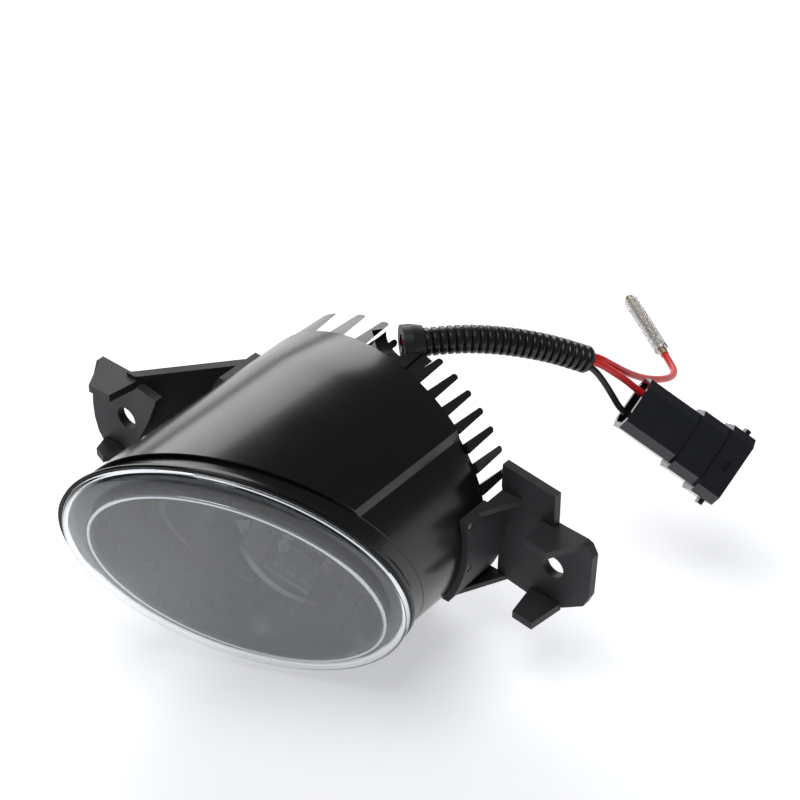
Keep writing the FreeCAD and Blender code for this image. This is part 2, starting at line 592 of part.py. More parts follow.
def ear(name, side, outline, lip, ledge_top, lip_base):
    """Bolt plate with its hole, the ledge above and the lip below; side is 1 or -1."""
    hole_z = f"{-side} * ear_z"
    front = f"{side} * ear_y"
    turned = [(side * outward, up) for outward, up in outline]
    face = at(plate(f"{name}Plate", "XZ_Plane", turned, "ear_thick"),
              f"{side} * ear_x", f"{front} + ear_thick", hole_z)
    tongues = []
    for part, corners, lift in (("Ledge", EAR_LEDGE, f"{ledge_top} - ledge_thick"),
                                ("Lip", lip, lip_base)):
        flat = [(side * outward, -forward) for outward, forward in corners]
        tongues.append(at(plate(f"{name}{part}", "XY_Plane", flat, "ledge_thick"),
                          f"{side} * ear_x", f"{front} + overlap", f"{hole_z} + {lift}"))
    hole = cylinder(f"{name}Hole", "ear_hole", "ear_thick + 2 * overcut", f"{side} * ear_x",
                    f"{front} - overcut", hole_z)
    return [face] + tongues, hole


def saddle(name, side, front, rear, low, high, radius):
    """Curved pad that hugs the barrel on one side."""
    ring = cylinder(f"{name}Ring", f"{radius} + saddle_thick", f"{rear} - ({front})", y=front)
    window = block(f"{name}Window", "tool_size / 4", f"{rear} - ({front})", f"{high} - ({low})",
                   f"{side} * (saddle_inner_x + tool_size / 8)", front, f"({high} + {low}) / 2")
    return common(f"{name}Pad", [ring, window])


def right_bracket():
    solids, hole = ear("RightEar", 1, RIGHT_EAR, RIGHT_LIP, "right_ledge_top", "right_lip_z")
    upper = at(plate("RightUpperRib", "XY_Plane", RIGHT_UPPER_RIB, "rib_thick"), z="right_upper_rib_z")
    lower = at(plate("RightLowerRib", "XY_Plane", RIGHT_LOWER_RIB, "rib_thick"), z="right_lower_rib_z")
    pad = saddle("RightSaddle", 1, "right_saddle_y", "ear_y + overlap", "right_lower_rib_z",
                 "right_upper_rib_z + rib_thick", "barrel_radius")
    clear = [cylinder("RightBarrelRoom", "barrel_radius + play", "tool_size", y="-tool_size / 2"),
             cylinder("RightFinRoom", "fin_reach + fin_clearance", "fin_room", y="casing_rear_y")]
    blank = fuse("RightBlank", solids + [upper, lower, pad])
    node(cut("RightBracket", blank, [hole] + clear + bracket_holes("RightHole", False)),
         "right_bracket")


def left_bracket():
    solids, hole = ear("LeftEar", -1, LEFT_EAR, LEFT_LIP, "left_ledge_top", "left_lip_z")
    web = at(plate("LeftWeb", "XY_Plane", LEFT_WEB, "left_web_high"), z="left_web_z")
    rib = at(plate("LeftLowerRib", "XY_Plane", LEFT_LOWER_RIB, "rib_thick"), z="left_web_z")
    pad = saddle("LeftSaddle", -1, "left_saddle_y", "left_saddle_rear", "left_saddle_z",
                 "left_saddle_top", "panel_radius")
    clear = cylinder("LeftBarrelRoom", "panel_radius + play", "tool_size", y="-tool_size / 2")
    blank = fuse("LeftBlank", solids + [web, rib, pad])
    node(cut("LeftBracket", blank, [hole, clear] + bracket_holes("LeftHole", False)), "left_bracket")


def bracket_screws():
    """Screws put in from inside the barrel, two to each ear."""
    parts = []
    for key, outward, y in bracket_screw_lines():
        seat = outward * (sheet.barrel_radius - sheet.casing_wall - sheet.screw_seat) + Vector(0, y, 0)
        turn = Rotation(Vector(0, 0, 1), outward)
        pin = doc.addObject("Part::Cylinder", f"BracketPin{key}")
        bind(pin, Radius="small_screw", Height="casing_wall + saddle_thick")
        pin.Placement = Placement(seat, turn)
        cap = doc.addObject("Part::Cylinder", f"BracketCap{key}")
        bind(cap, Radius="small_head", Height="small_head_high")
        cap.Placement = Placement(seat - outward * sheet.small_head_high, turn)
        parts.append(fuse(f"BracketScrew{key}", [pin, cap]))
    node(fuse("BracketScrews", parts), "bracket_screws")


# --- cable gland and cords --------------------------------------------------------------------

ROUTE = [Vector(*point) for point in CONDUIT_ROUTE]
GLAND_AIM = (ROUTE[1] - ROUTE[0]).normalize()
GLAND_TURN = Rotation(Vector(0, 1, 0), GLAND_AIM)


def gland_seat():
    """The bore in the boss that takes the gland, drawn in the clocked frame."""
    item = doc.addObject("Part::Cylinder", "GlandSeat")
    bind(item, Radius="gland_radius + play",
         Height="gland_length + gland_seat_back + gland_seat_ahead")
    start = ROUTE[0] - GLAND_AIM * (sheet.gland_length + sheet.gland_seat_back)
    place = Placement(start, Rotation(Vector(0, 0, 1), GLAND_AIM))
    item.Placement = CLOCKED.inverse().multiply(place)
    return item


def cable_gland():
    """Tapered collar from the boss to the end of the conduit."""
    root = "-gland_length - gland_root"
    corners = [("conduit_inner", root), ("gland_radius", root),
               ("gland_radius", "-gland_length + gland_straight"), ("gland_nose", "0"),
               ("conduit_inner", "0")]
    node(turned_body("CableGland", corners), "cable_gland", Placement(ROUTE[0], GLAND_TURN))


def centre_line(name, points):
    """Straight runs joined by tangent arcs, as large as the runs allow."""
    edges = []
    radii = []
    here = points[0]
    for before, corner, after in zip(points, points[1:], points[2:]):
        back = before - corner
        ahead = after - corner
        reach = ARC_SHARE * min(back.Length, ahead.Length)
        back.normalize()
        ahead.normalize()
        half_turn = (math.pi - back.getAngle(ahead)) / 2
        radius = reach / math.tan(half_turn)
        radii.append(round(radius, 1))
        inward = (back + ahead).normalize()
        middle = corner + inward * (radius / math.cos(half_turn) - radius)
        enter = corner + back * reach
        leave = corner + ahead * reach
        edges += [Part.LineSegment(here, enter).toShape(), Part.Arc(enter, middle, leave).toShape()]
        here = leave
    edges.append(Part.LineSegment(here, points[-1]).toShape())
    line = Part.Wire(edges)
    print(f"{name}: length {line.Length:.1f} mm, radii {radii}")
    return line


def tube(name, line, start, aim, radius):
    """A round bar along a centre line; its volume is printed against section times length."""
    circle = Part.Wire(Part.Circle(start, aim, radius).toShape())
    bar = line.makePipeShell([circle], True, False)
    expected = math.pi * radius ** 2 * line.Length
    print(f"{name}: volume {bar.Volume:.1f}, expected {expected:.1f}")
    return bar


def cord(label, points, radius, bore=0.0):
    """A cord's plain solid, hollow when it has a bore."""
    line = centre_line(label, points)
    aim = points[1] - points[0]
    shape = tube(label, line, points[0], aim, radius)
    if bore:
        shape = shape.cut(tube(f"{label} bore", line, points[0], aim, bore))
    item = doc.addObject("Part::Feature", label.title().replace("_", ""))
    item.Shape = shape
    node(item, label)


def wire_route(offset, fan, end):
    """From the boss through the conduit, then along the fan to the connector."""
    inside = [ROUTE[0] - GLAND_AIM * sheet.gland_length] + ROUTE[1:]
    return [point + offset for point in inside] + [Vector(*point) for point in fan] + end


def harness():
    cord("conduit", ROUTE, sheet.conduit_outer, sheet.conduit_inner)
    ends = []
    for side in (-1, 1):
        seal = Vector(sheet.pocket_depth - sheet.wire_seal_length, side * sheet.pin_pitch, 0)
        lead = seal - Vector(LEAD_IN, 0, 0)
        ends.append([PLUG_FACE + PLUG_TURN.multVec(point) for point in (lead, seal)])
    cord("black_wire", wire_route(BLACK_OFFSET, BLACK_FAN, ends[0]), sheet.black_radius)
    cord("red_wire", wire_route(RED_OFFSET, RED_FAN, ends[1]), sheet.wire_radius)
    bullet = [BULLET_END - BULLET_AXIS * BULLET_LEAD, BULLET_END]
    cord("bullet_wire", wire_route(BULLET_OFFSET, BULLET_FAN, bullet), sheet.wire_radius)


# --- connectors -------------------------------------------------------------------------------

PLUG = Placement(PLUG_FACE, PLUG_TURN)


def plug_block(name, start, length, width, deep):
    """A box along the plug's axis, centred on it."""
    item = doc.addObject("Part::Box", name)
    bind(item, Length=length, Width=width, Height=deep)
    return at(item, start, f"-({width}) / 2", f"-({deep}) / 2")


def bevelled(name, base, bevel):
    """The box with its four long edges bevelled."""
    doc.recompute()
    item = doc.addObject("Part::Chamfer", name)
    item.Base = base
    long_edges = [number for number, edge in enumerate(base.Shape.Edges, start=1)
                  if abs(edge.tangentAt(edge.FirstParameter).x) > 0.99]
    item.Edges = [(number, bevel, bevel) for number in long_edges]
    return item


def plug_housing():
    """Plug body in three steps, widest at its mouth, with an open socket and a pocket for the wires."""
    middle = "plug_rear_length"
    mouth = "plug_rear_length + plug_middle_length"
    end = "plug_rear_length + plug_middle_length + plug_mouth_length"
    steps = [
        ("PlugRear", "0", "plug_rear_length + overlap", "plug_width", "plug_deep"),
        ("PlugMiddle", middle, "plug_middle_length + overlap", "plug_middle_width", "plug_middle_deep"),
        ("PlugMouth", mouth, "plug_mouth_length", "plug_mouth_width", "plug_mouth_deep")]
    blocks = [bevelled(f"{step[0]}Bevelled", plug_block(*step), sheet.plug_bevel) for step in steps]
    blocks.append(plug_block("Barbs", f"{end} - 2 * barb", "barb", "plug_mouth_width + 2 * barb",
                             "2 * barb"))
    socket = bevelled("SocketBevelled",
                      plug_block("Socket", f"{end} - socket_depth", "socket_depth + overcut",
                                 "plug_mouth_width - 2 * plug_wall", "plug_deep - 2 * plug_wall"),
                      sheet.plug_wall)
    pocket = bevelled("PocketBevelled",
                      plug_block("Pocket", "-overcut", "pocket_depth + overcut",
                                 "plug_width - 2 * plug_wall", "plug_deep - 2 * plug_wall"),
                      sheet.plug_wall)
    mark = at(plug_block("KeyMark", "0", "barb", "2 * barb", "barb"), f"{end} - 3 * barb", "-barb",
              "plug_mouth_deep / 2 - barb / 2")
    slots = [pin_block(f"PinSlot{side}", side, "pin_root - play", "pin_length + overcut")
             for side in (-1, 1)]
    node(cut("PlugHousing", fuse("PlugBlank", blocks), [socket, pocket, mark] + slots),
         "plug_housing", PLUG)


def pin_block(name, side, start, length):
    """A flat blade on one of the two poles."""
    blade = plug_block(name, start, length, "pin_width", "pin_thick")
    return at(blade, start, f"{side} * pin_pitch - pin_width / 2", "-pin_thick / 2")


def plug_pins():
    pins = [pin_block(f"Pin{side}", side, "pin_root", "pin_length") for side in (-1, 1)]
    node(fuse("PlugPins", pins), "plug_pins", PLUG)


def plug_wire_seals():
    seals = [cylinder(f"WireSeal{index}", "wire_seal_radius", "wire_seal_length",
                      "pocket_depth - wire_seal_length", f"{side} * pin_pitch", "0", ALONG_X)
             for index, side in enumerate(("-1", "1"))]
    node(fuse("PlugWireSeals", seals), "plug_wire_seals", PLUG)


BULLET = Placement(BULLET_END, Rotation(Vector(0, 1, 0), BULLET_AXIS))


def bullet_terminal():
    """Crimp barrel at the wire and the bullet that carries the sleeve."""
    total = "crimp_length + bullet_length"
    corners = [("0", "0"), ("crimp_radius", "0"), ("crimp_radius", "crimp_length - 2 * waist_length"),
               ("waist_radius", "crimp_length - waist_length"), ("waist_radius", "crimp_length"),
               ("bullet_radius", "crimp_length + waist_length"),
               ("bullet_radius", f"{total} - bullet_taper"), ("bullet_nose", total), ("0", total)]
    node(turned_body("BulletTerminal", corners), "bullet_terminal", BULLET)


def bullet_sleeve():
    """Clear insulating sleeve over the bullet; it slides back over the crimp."""
    corners = [("sleeve_bore", "0"), ("sleeve_radius - sleeve_round", "0"),
               ("sleeve_radius", "sleeve_round"), ("sleeve_radius", "sleeve_length - sleeve_round"),
               ("sleeve_radius - sleeve_round", "sleeve_length"), ("sleeve_bore", "sleeve_length")]
    place = Placement(BULLET_END + BULLET_AXIS * sheet.sleeve_start, BULLET.Rotation)
    node(turned_body("BulletSleeve", corners), "bullet_sleeve", place)


# --- the lamp ---------------------------------------------------------------------------------

front_casing()
lens_seal()
outer_lens()
inner_bezel()
reflector()
led_shelf()
light_source()
heat_sink()
casing_seal()
driver()
housing_screws()
right_bracket()
left_bracket()
bracket_screws()
cable_gland()
harness()
plug_housing()
plug_pins()
plug_wire_seals()
bullet_terminal()
bullet_sleeve()
doc.recompute()

for item in doc.Objects:
    if {"Invalid", "Error"} & set(item.State):
        raise RuntimeError(f"{item.Name} did not build: {item.State}")
for item in nodes:
    if item.Shape.isNull() or not item.Shape.isValid():
        raise RuntimeError(f"{item.Label} has no valid shape")

os.makedirs("parts", exist_ok=True)
for item in nodes:
    item.Shape.exportStep(f"parts/{item.Label}.step")
    print(f"{item.Label}: {len(item.Shape.Solids)} solids, {item.Shape.Volume / 1000:.2f} cm3")
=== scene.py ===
import json
import math

import bmesh
import bpy
import numpy as np
from mathutils import Matrix, Vector


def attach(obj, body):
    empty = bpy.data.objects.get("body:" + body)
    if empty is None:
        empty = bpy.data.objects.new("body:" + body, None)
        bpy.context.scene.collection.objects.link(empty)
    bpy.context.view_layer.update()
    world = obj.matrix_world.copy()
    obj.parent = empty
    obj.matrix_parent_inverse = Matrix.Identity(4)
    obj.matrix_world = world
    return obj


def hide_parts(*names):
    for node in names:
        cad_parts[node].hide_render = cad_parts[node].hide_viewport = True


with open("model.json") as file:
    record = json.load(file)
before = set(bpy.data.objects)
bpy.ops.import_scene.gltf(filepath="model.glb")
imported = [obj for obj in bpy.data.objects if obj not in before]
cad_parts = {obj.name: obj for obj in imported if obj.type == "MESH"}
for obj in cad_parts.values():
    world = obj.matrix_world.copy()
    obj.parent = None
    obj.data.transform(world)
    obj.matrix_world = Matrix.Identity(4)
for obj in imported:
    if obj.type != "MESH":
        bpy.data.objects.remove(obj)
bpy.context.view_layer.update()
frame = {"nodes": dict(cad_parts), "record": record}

# Looks of the fog light, in metres, in the frame of the CAD model: -Y is the way the
# light shines and +Z is up. The optics, the barrel and the heat sink are turned about
# the Y axis by CLOCKING, and the lens plane is swept by LENS_SWEEP in that turned frame.

MM = 0.001
LAMP = "lamp"
CLOCKING = math.radians(38.5)
LENS_SWEEP = math.radians(30.0)
LENS_RAKE = math.radians(-2.7)
LENS_CENTRE_Y = -43.3
FLOOR_Z = -48.2 * MM

CLOCKED = Matrix.Rotation(CLOCKING, 4, "Y")
LENS = (CLOCKED @ Matrix.Translation((0, LENS_CENTRE_Y * MM, 0))
        @ Matrix.Rotation(LENS_SWEEP, 4, "Z") @ Matrix.Rotation(LENS_RAKE, 4, "X"))


# --- camera, light and floor ----------------------------------------------------------------

CAMERA_PLACE = Vector((331.4, -378.7, 436.0))
CAMERA_RIGHT = Vector((0.765, 0.643, 0.0))
CAMERA_UP = Vector((-0.416, 0.495, 0.763))
CAMERA_BACK = Vector((0.491, -0.584, 0.646))
FOCAL_LENGTH = 101.5
SENSOR_WIDTH = 36.0
FRAME_SHIFT = (0.0385, 0.0822)
CLIP_END = 20.0


def camera():
    """Long lens above and to the right of the lamp, level."""
    data = bpy.data.cameras.new("Camera")
    data.lens = FOCAL_LENGTH
    data.sensor_width = SENSOR_WIDTH
    data.shift_x, data.shift_y = FRAME_SHIFT
    data.clip_end = CLIP_END
    item = bpy.data.objects.new("Camera", data)
    turn = Matrix((CAMERA_RIGHT, CAMERA_UP, CAMERA_BACK)).transposed().to_4x4()
    item.matrix_world = Matrix.Translation(CAMERA_PLACE * MM) @ turn
    bpy.context.scene.collection.objects.link(item)
    bpy.context.scene.camera = item


LEFT_LIGHT = {"place": (-0.80, 0.70, 0.50), "width": 0.9, "height": 0.75, "radiance": 3.4}
TOP_LIGHT = {"place": (-0.05, -0.30, 1.3), "width": 0.9, "height": 0.5, "radiance": 5.2}
ROOM_COLOUR = (0.95, 0.97, 1.0, 1)
ROOM_STRENGTH = 0.16
FLOOR_HALF = 6.0
TABLE_COLOUR = (0.86, 0.87, 0.89, 1)
TABLE_ROUGHNESS = 0.6
TABLE_GLOW = (0.97, 0.98, 1.0, 1)
TABLE_GLOW_STRENGTH = 0.5


def softbox(name, place, width, height, radiance):
    """A rectangular area light of a given radiance, aimed at the origin."""
    data = bpy.data.lights.new(name, "AREA")
    data.shape = "RECTANGLE"
    data.size = width
    data.size_y = height
    data.energy = radiance * math.pi * width * height
    item = bpy.data.objects.new(name, data)
    item.location = place
    item.rotation_euler = (-Vector(place)).to_track_quat("-Z", "Y").to_euler()
    bpy.context.scene.collection.objects.link(item)


def studio():
    """Glowing pale table, dim room, a large softbox behind on the left and one overhead."""
    scene = bpy.context.scene
    scene.view_settings.view_transform = "Standard"
    world = bpy.data.worlds.new("Studio")
    world.use_nodes = True
    background = world.node_tree.nodes["Background"]
    background.inputs["Color"].default_value = ROOM_COLOUR
    background.inputs["Strength"].default_value = ROOM_STRENGTH
    scene.world = world
    bm = bmesh.new()
    bmesh.ops.create_grid(bm, x_segments=1, y_segments=1, size=FLOOR_HALF)
    floor = from_bmesh("floor", bm)
    floor.location = (0, 0, FLOOR_Z)
    finish_with(floor, table())
    softbox("left_softbox", **LEFT_LIGHT)
    softbox("top_softbox", **TOP_LIGHT)


def table():
    """White table, lit from below as well."""
    material, tree, surface = shader("table")
    surface.inputs["Base Color"].default_value = TABLE_COLOUR
    surface.inputs["Roughness"].default_value = TABLE_ROUGHNESS
    surface.inputs["Emission Color"].default_value = TABLE_GLOW
    surface.inputs["Emission Strength"].default_value = TABLE_GLOW_STRENGTH
    return material


# --- materials ------------------------------------------------------------------------------

NOISE_SPAN = (0.3, 0.7)
COAT_ROUGHNESS = 0.08
STREAK_SCALE = 25.0


def shader(name):
    """A new material, its node tree and its Principled shader."""
    material = bpy.data.materials.new(name)
    material.use_nodes = True
    tree = material.node_tree
    return material, tree, tree.nodes["Principled BSDF"]


def noise(tree, scale, detail=3.0):
    """Noise in object space at a scale of so many cells per metre."""
    place = tree.nodes.new("ShaderNodeTexCoord")
    texture = tree.nodes.new("ShaderNodeTexNoise")
    texture.inputs["Scale"].default_value = scale
    texture.inputs["Detail"].default_value = detail
    tree.links.new(place.outputs["Object"], texture.inputs["Vector"])
    return texture.outputs["Fac"]


def ramp(tree, value, low, high):
    """Map the usual span of a noise to a range of numbers."""
    node = tree.nodes.new("ShaderNodeMapRange")
    node.inputs["From Min"].default_value = NOISE_SPAN[0]
    node.inputs["From Max"].default_value = NOISE_SPAN[1]
    node.inputs["To Min"].default_value = low
    node.inputs["To Max"].default_value = high
    tree.links.new(value, node.inputs["Value"])
    return node.outputs["Result"]


def tones(tree, value, dark, light):
    """Mix two colours by a value."""
    node = tree.nodes.new("ShaderNodeMix")
    node.data_type = "RGBA"
    node.inputs[6].default_value = (*dark, 1)
    node.inputs[7].default_value = (*light, 1)
    tree.links.new(value, node.inputs[0])
    return node.outputs[2]


def bump(tree, surface, height, distance):
    """Add a bump of so many metres to a surface."""
    node = tree.nodes.new("ShaderNodeBump")
    node.inputs["Distance"].default_value = distance
    node.inputs["Strength"].default_value = 1.0
    tree.links.new(height, node.inputs["Height"])
    tree.links.new(node.outputs["Normal"], surface.inputs["Normal"])


def textured(name, dark, light, rough, grain, depth, metallic=0.0, coat=0.0, tone_scale=60.0,
             specular=0.5):
    """Opaque material with tone and roughness variation and a fine grain."""
    material, tree, surface = shader(name)
    broad = noise(tree, tone_scale, 4.0)
    fine = noise(tree, grain, 2.0)
    tree.links.new(tones(tree, broad, dark, light), surface.inputs["Base Color"])
    tree.links.new(ramp(tree, broad, *rough), surface.inputs["Roughness"])
    surface.inputs["Metallic"].default_value = metallic
    surface.inputs["Coat Weight"].default_value = coat
    surface.inputs["Coat Roughness"].default_value = COAT_ROUGHNESS
    surface.inputs["Specular IOR Level"].default_value = specular
    bump(tree, surface, fine, depth)
    return material


def clear(name, tint, rough, ior, transmission):
    """Clear or milky moulding that light passes through, with faint streaks in its gloss."""
    material, tree, surface = shader(name)
    surface.inputs["Base Color"].default_value = (*tint, 1)
    surface.inputs["IOR"].default_value = ior
    surface.inputs["Transmission Weight"].default_value = transmission
    tree.links.new(ramp(tree, noise(tree, STREAK_SCALE), *rough), surface.inputs["Roughness"])
    return material


def palette():
    """Every material of the lamp by its slot in the record, and the bezel's bright trim."""
    return {
        "glass": clear("glass", (0.93, 0.95, 0.97), (0.0, 0.02), 1.49, 1.0),
        "casing": textured("casing", (0.002, 0.002, 0.0022), (0.004, 0.004, 0.0045), (0.2, 0.27),
                           2600, 0.00001, coat=0.1, tone_scale=40),
        "sink": textured("sink", (0.008, 0.008, 0.009), (0.014, 0.014, 0.015), (0.22, 0.36), 1500,
                         0.00004, coat=0.2),
        "bracket": textured("bracket", (0.026, 0.027, 0.029), (0.036, 0.037, 0.040), (0.5, 0.62),
                            1800, 0.00006, specular=0.4),
        "seal": textured("seal", (0.01, 0.01, 0.01), (0.018, 0.018, 0.018), (0.6, 0.75), 2200,
                         0.00003),
        "bezel": textured("bezel", (0.075, 0.085, 0.100), (0.095, 0.107, 0.125), (0.22, 0.32), 900,
                          0.00002, metallic=0.6, coat=0.3),
        "reflector": textured("reflector", (0.36, 0.37, 0.39), (0.42, 0.43, 0.45), (0.12, 0.2), 300,
                              0.00005, metallic=1.0),
        "metal": textured("metal", (0.12, 0.125, 0.135), (0.17, 0.175, 0.18), (0.3, 0.42), 1200,
                          0.00002, metallic=1.0),
        "board": textured("board", (0.16, 0.17, 0.19), (0.2, 0.21, 0.23), (0.35, 0.5), 900, 0.00002),
        "driver": textured("driver", (0.01, 0.09, 0.04), (0.015, 0.13, 0.06), (0.35, 0.5), 700,
                           0.00002),
        "emitter": textured("emitter", (0.24, 0.24, 0.21), (0.3, 0.3, 0.26), (0.3, 0.4), 1500,
                            0.00001),
        "pad": textured("pad", (0.25, 0.27, 0.3), (0.32, 0.35, 0.38), (0.6, 0.7), 1200, 0.00003),
        "steel": textured("steel", (0.42, 0.42, 0.43), (0.52, 0.52, 0.53), (0.25, 0.4), 2400,
                          0.00001, metallic=1.0),
        "component": textured("component", (0.02, 0.02, 0.022), (0.035, 0.035, 0.04), (0.3, 0.4),
                              1500, 0.00002),
        "conduit": textured("conduit", (0.008, 0.008, 0.009), (0.013, 0.013, 0.014), (0.2, 0.32),
                            1400, 0.00003),
        "gland": textured("gland", (0.008, 0.008, 0.008), (0.014, 0.014, 0.014), (0.4, 0.52), 1600,
                          0.00003),
        "red_wire": textured("red_wire", (0.78, 0.012, 0.018), (0.9, 0.03, 0.03), (0.28, 0.38), 1200,
                             0.00002),
        "black_wire": textured("black_wire", (0.008, 0.008, 0.009), (0.014, 0.014, 0.015),
                               (0.25, 0.35), 1200, 0.00002),
        "plug": textured("plug", (0.008, 0.009, 0.012), (0.013, 0.014, 0.018), (0.12, 0.2), 1500,
                         0.00001, coat=0.3, tone_scale=90),
        "brass": textured("brass", (0.45, 0.36, 0.24), (0.6, 0.5, 0.36), (0.25, 0.4), 1800, 0.00001,
                          metallic=1.0),
        "trim": textured("trim", (0.62, 0.63, 0.65), (0.72, 0.73, 0.75), (0.1, 0.16), 900, 0.00001,
                         metallic=1.0),
        "sleeve": clear("sleeve", (0.97, 0.97, 0.98), (0.22, 0.3), 1.3, 0.8),
    }


# --- mesh helpers ---------------------------------------------------------------------------

def from_bmesh(name, bm):
    """A linked object from a bmesh, which is freed."""
    mesh = bpy.data.meshes.new(name)
    bm.to_mesh(mesh)
    bm.free()
    item = bpy.data.objects.new(name, mesh)
    bpy.context.scene.collection.objects.link(item)
    return item


def finish_with(item, material):
    """Give an object one material and no other."""
    item.data.materials.clear()
    item.data.materials.append(material)


def smooth(item, angle=35.0):
    """Smooth shading, sharp only at steep edges."""
    for polygon in item.data.polygons:
        polygon.use_smooth = True
    item.data.set_sharp_from_angle(angle=math.radians(angle))


def circle_turns(count):
    """Evenly spaced angles round a circle."""
    return [2 * math.pi * index / count for index in range(count)]


def loft(rings, closed=True):
    """A quad mesh through rings of equally many points; closed joins the last ring to the first."""
    bm = bmesh.new()
    rows = [[bm.verts.new(point) for point in ring] for ring in rings]
    pairs = list(zip(rows, rows[1:]))
    if closed:
        pairs.append((rows[-1], rows[0]))
    for lower, upper in pairs:
        count = len(lower)
        for index in range(count):
            following = (index + 1) % count
            bm.faces.new((lower[index], lower[following], upper[following], upper[index]))
    return bm


def piece(item, body, slot, materials, *nodes, look=None):
    """Put a new piece on its body, with its finish and the nodes it stands for."""
    finish_with(item, materials[look or slot])
    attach(item, body)
    if nodes:
        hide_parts(*nodes)


# --- barrel and glass -----------------------------------------------------------------------

def circle_angles(count, extra):
    """Evenly spaced angles, with a few more where an edge runs."""
    return sorted(set(round(angle % (2 * math.pi), 6) for angle in circle_turns(count) + extra))


LENS_NORMAL = (CLOCKED.inverted() @ LENS).to_3x3() @ Vector((0, -1, 0))
BARREL_R = 44.2
PANEL_R = 45.4
BORE_R = 41.8
RIM_R = 45.9
REAR_Y = 15.4
RIDGE_X = 6.3
BEVEL_X = 8.7
WINDOW_SHIFT = 1.6
OVAL_POINTS = 200
BARREL_POINTS = 240

# Radius and depth of the barrel's rings parallel to the lens, from the bore to the panel.
FLANGE_RINGS = (
    (BORE_R, 0.0), (RIM_R - 0.4, 0.0), (RIM_R - 0.1, -0.1), (RIM_R, -0.35), (RIM_R, -0.85),
    (RIM_R - 0.1, -1.1), (RIM_R - 0.4, -1.2), (45.2, -1.3), (44.6, -1.7), (44.3, -2.4),
    (BARREL_R, -3.2), (BARREL_R, -6.05))
# Inset and depth of the panel's front edge, and inset and place of its rear edge.
PANEL_FRONT = ((0.25, -6.2), (0.0, -6.5))
PANEL_REAR = ((0.12, REAR_Y - 0.14), (0.45, REAR_Y))
PANEL_END_Y = REAR_Y - 0.5
PANEL_SHARES = (0.03, 0.25, 0.5, 0.75)

# Ovals of the glass, the bezel and its lip: long and short half axes, depth, shift.
WINDOW_SHARES = (0.02, 0.15, 0.35, 0.55, 0.75, 0.9, 0.97)
WINDOW_DOME = 0.35
WINDOW_OUTSIDE = (6.0, 46.0, 37.0)
WINDOW_INSIDE = (3.6, 45.2, 36.4)
GLASS_OUTSIDE = (
    (46.3, 37.3, 5.98, 1.6), (47.3, 38.6, 5.86, 1.5), (48.6, 40.4, 5.5, 1.3),
    (50.1, 42.3, 4.85, 1.0), (51.3, 43.9, 3.9, 0.75), (52.0, 45.05, 2.8, 0.5),
    (52.4, 45.55, 1.7, 0.35), (52.45, 45.65, 1.2, 0.3), (52.2, 45.3, 0.82, 0.3))
GLASS_INSIDE = (
    (50.1, 43.3, 0.82, 0.3), (50.0, 43.2, 1.6, 0.4), (49.4, 42.2, 2.4, 0.7),
    (48.1, 40.3, 3.1, 1.1), (46.7, 38.3, 3.5, 1.5), (45.6, 36.7, 3.6, 1.6))
BEZEL_FUNNEL = (
    (44.9, 36.3, 2.3, 1.6), (45.2, 36.6, 2.55, 1.6), (45.2, 36.6, 2.9, 1.6),
    (44.8, 36.2, 3.05, 1.6), (44.3, 35.7, 2.8, 1.6), (43.6, 35.0, 1.6, 1.5),
    (41.8, 33.8, -3.0, 1.1), (39.6, 32.5, -9.0, 0.6), (37.2, 31.6, -14.0, 0.2),
    (35.9, 31.1, -17.0, 0.0), (37.2, 32.4, -17.0, 0.0), (38.6, 32.9, -14.0, 0.2),
    (41.0, 33.8, -9.0, 0.6), (43.0, 34.9, -3.0, 1.1), (44.4, 35.9, 1.2, 1.5))
BEZEL_LIP = ((44.4, 35.8, 0.0, 1.5), (49.2, 42.6, 0.0, 0.3), (49.2, 42.6, 0.8, 0.3),
             (44.4, 35.8, 0.8, 1.5))
TRIM_LONG = 45.0
TRIM_SHORT = 36.4
TRIM_FORWARD = 2.75
TRIM_RADIUS = 0.55
TRIM_SIDES = 12


def lens_y(x, z, forward):
    """Where a line along the barrel meets the plane parallel to the lens at that depth."""
    normal = LENS_NORMAL
    return LENS_CENTRE_Y + (forward - normal.x * x - normal.z * z) / normal.y


def panel_radius(angle, inset=0.0):
    """Radius of the barrel's skin: the raised panel, the bevel beside its ridge, or the barrel."""
    ridge = math.acos(RIDGE_X / PANEL_R)
    foot = math.acos(BEVEL_X / BARREL_R)
    turned = abs((angle + math.pi) % (2 * math.pi) - math.pi)
    if turned >= ridge:
        return PANEL_R - inset
    if turned <= foot:
        return BARREL_R - inset
    share = (turned - foot) / (ridge - foot)
    return BARREL_R + (PANEL_R - BARREL_R) * share - inset


def barrel_ring(angles, radius, forward=None, y=None):
    """One ring of the barrel, on a plane parallel to the lens or square to the axis."""
    ring = []
    for angle in angles:
        reach = radius(angle) if callable(radius) else radius
        x = reach * math.cos(angle)
        z = reach * math.sin(angle)
        ring.append(CLOCKED @ Vector((x, lens_y(x, z, forward) if y is None else y, z)) * MM)
    return ring


